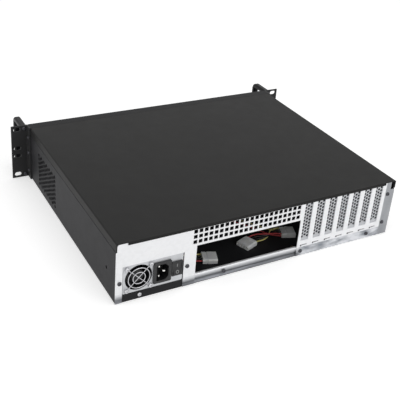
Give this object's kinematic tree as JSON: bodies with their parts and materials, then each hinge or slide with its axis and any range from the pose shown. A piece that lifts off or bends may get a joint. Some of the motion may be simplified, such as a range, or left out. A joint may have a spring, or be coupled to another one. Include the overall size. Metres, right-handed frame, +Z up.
{
  "type": "rackmount server case",
  "caption": "Short rackmount server case with rack ears and bow handles, sliding lid, fitted power supply, slot covers, drive bracket and front fans.",
  "frame": {"origin": "middle of the underside of the body, halfway between its front and rear faces", "axes": "+X right seen from the front, +Y toward the rear panel, +Z up"},
  "size_m": [0.4826, 0.3951, 0.088],
  "materials": {
    "black_steel": "satin",
    "black_handle": "satin",
    "zinc_steel": "satin",
    "psu_steel": "satin",
    "black_plastic": "matte",
    "rocker_plastic": "gloss",
    "bright_wire": "polished",
    "screw_steel": "satin",
    "brass": "satin",
    "usb_steel": "satin",
    "lamp": "gloss",
    "circuit_board": "matte",
    "plug_nylon": "matte",
    "wire_yellow": "satin",
    "wire_black": "satin",
    "wire_red": "satin"
  },
  "bodies": {
    "case": {"base_tray": "black_steel", "control_board": "circuit_board", "drive_bracket": "zinc_steel", "drive_lead_black_inner": "wire_black", "drive_lead_black_outer": "wire_black", "drive_lead_red": "wire_red", "drive_lead_yellow": "wire_yellow", "drive_plug_1": "plug_nylon", "drive_plug_2": "plug_nylon", "drive_plug_3": "plug_nylon", "ear_screws": "screw_steel", "fan_frame_1": "black_plastic", "fan_frame_2": "black_plastic", "fan_screws": "screw_steel", "front_panel": "black_steel", "handle_left": "black_handle", "handle_right": "black_handle", "handle_screws": "screw_steel", "indicator_leds": "lamp", "inlet_body": "black_plastic", "inlet_pins": "bright_wire", "long_lead_black_inner": "wire_black", "long_lead_black_outer": "wire_black", "long_lead_red": "wire_red", "long_lead_yellow": "wire_yellow", "motherboard_standoffs": "brass", "psu_board": "circuit_board", "psu_case": "psu_steel", "psu_cover": "psu_steel", "psu_fan_frame": "black_plastic", "psu_fan_guard": "bright_wire", "psu_fan_screws": "bright_wire", "psu_grommet": "black_plastic", "psu_tray": "psu_steel", "rack_ear_left": "black_steel", "rack_ear_right": "black_steel", "rear_panel": "zinc_steel", "rear_screws": "screw_steel", "slot_cover_1": "zinc_steel", "slot_cover_2": "zinc_steel", "slot_cover_3": "zinc_steel", "slot_cover_4": "zinc_steel", "slot_cover_5": "zinc_steel", "slot_cover_6": "zinc_steel", "slot_cover_7": "zinc_steel", "slot_cover_screws": "screw_steel", "slot_rail": "zinc_steel", "supply_lead_black_inner": "wire_black", "supply_lead_black_outer": "wire_black", "supply_lead_red": "wire_red", "supply_lead_yellow": "wire_yellow", "switch_body": "black_plastic", "usb_ports": "usb_steel"},
    "lid": {"lid": "black_steel"},
    "fan_1": {"fan_rotor_1": "black_plastic"},
    "fan_2": {"fan_rotor_2": "black_plastic"},
    "psu_fan": {"psu_fan_rotor": "black_plastic"},
    "rocker": {"switch_rocker": "rocker_plastic"},
    "power": {"power_button": "black_plastic"},
    "reset": {"reset_button": "black_plastic"}
  },
  "joints": [
    {"name": "lid_slide", "type": "slide", "parent": "case", "child": "lid", "axis": [0, 1, 0], "range_m": [0, 0.3]},
    {"name": "fan_1_spin", "type": "hinge", "parent": "case", "child": "fan_1", "pos_m": [0.062, -0.16, 0.044], "axis": [0, 1, 0], "continuous": true},
    {"name": "fan_2_spin", "type": "hinge", "parent": "case", "child": "fan_2", "pos_m": [0.154, -0.16, 0.044], "axis": [0, 1, 0], "continuous": true},
    {"name": "psu_fan_spin", "type": "hinge", "parent": "case", "child": "psu_fan", "pos_m": [0.1844, 0.165, 0.03255], "axis": [0, 1, 0], "continuous": true},
    {"name": "rocker_tilt", "type": "hinge", "parent": "case", "child": "rocker", "pos_m": [0.1324, 0.1743, 0.03255], "axis": [1, 0, 0], "range_deg": [-14, 0]},
    {"name": "power_press", "type": "slide", "parent": "case", "child": "power", "axis": [0, 1, 0], "range_m": [0, 0.0015], "stiffness_N_per_m": 400, "springref_m": -0.001},
    {"name": "reset_press", "type": "slide", "parent": "case", "child": "reset", "axis": [0, 1, 0], "range_m": [0, 0.0015], "stiffness_N_per_m": 400, "springref_m": -0.001}
  ]
}
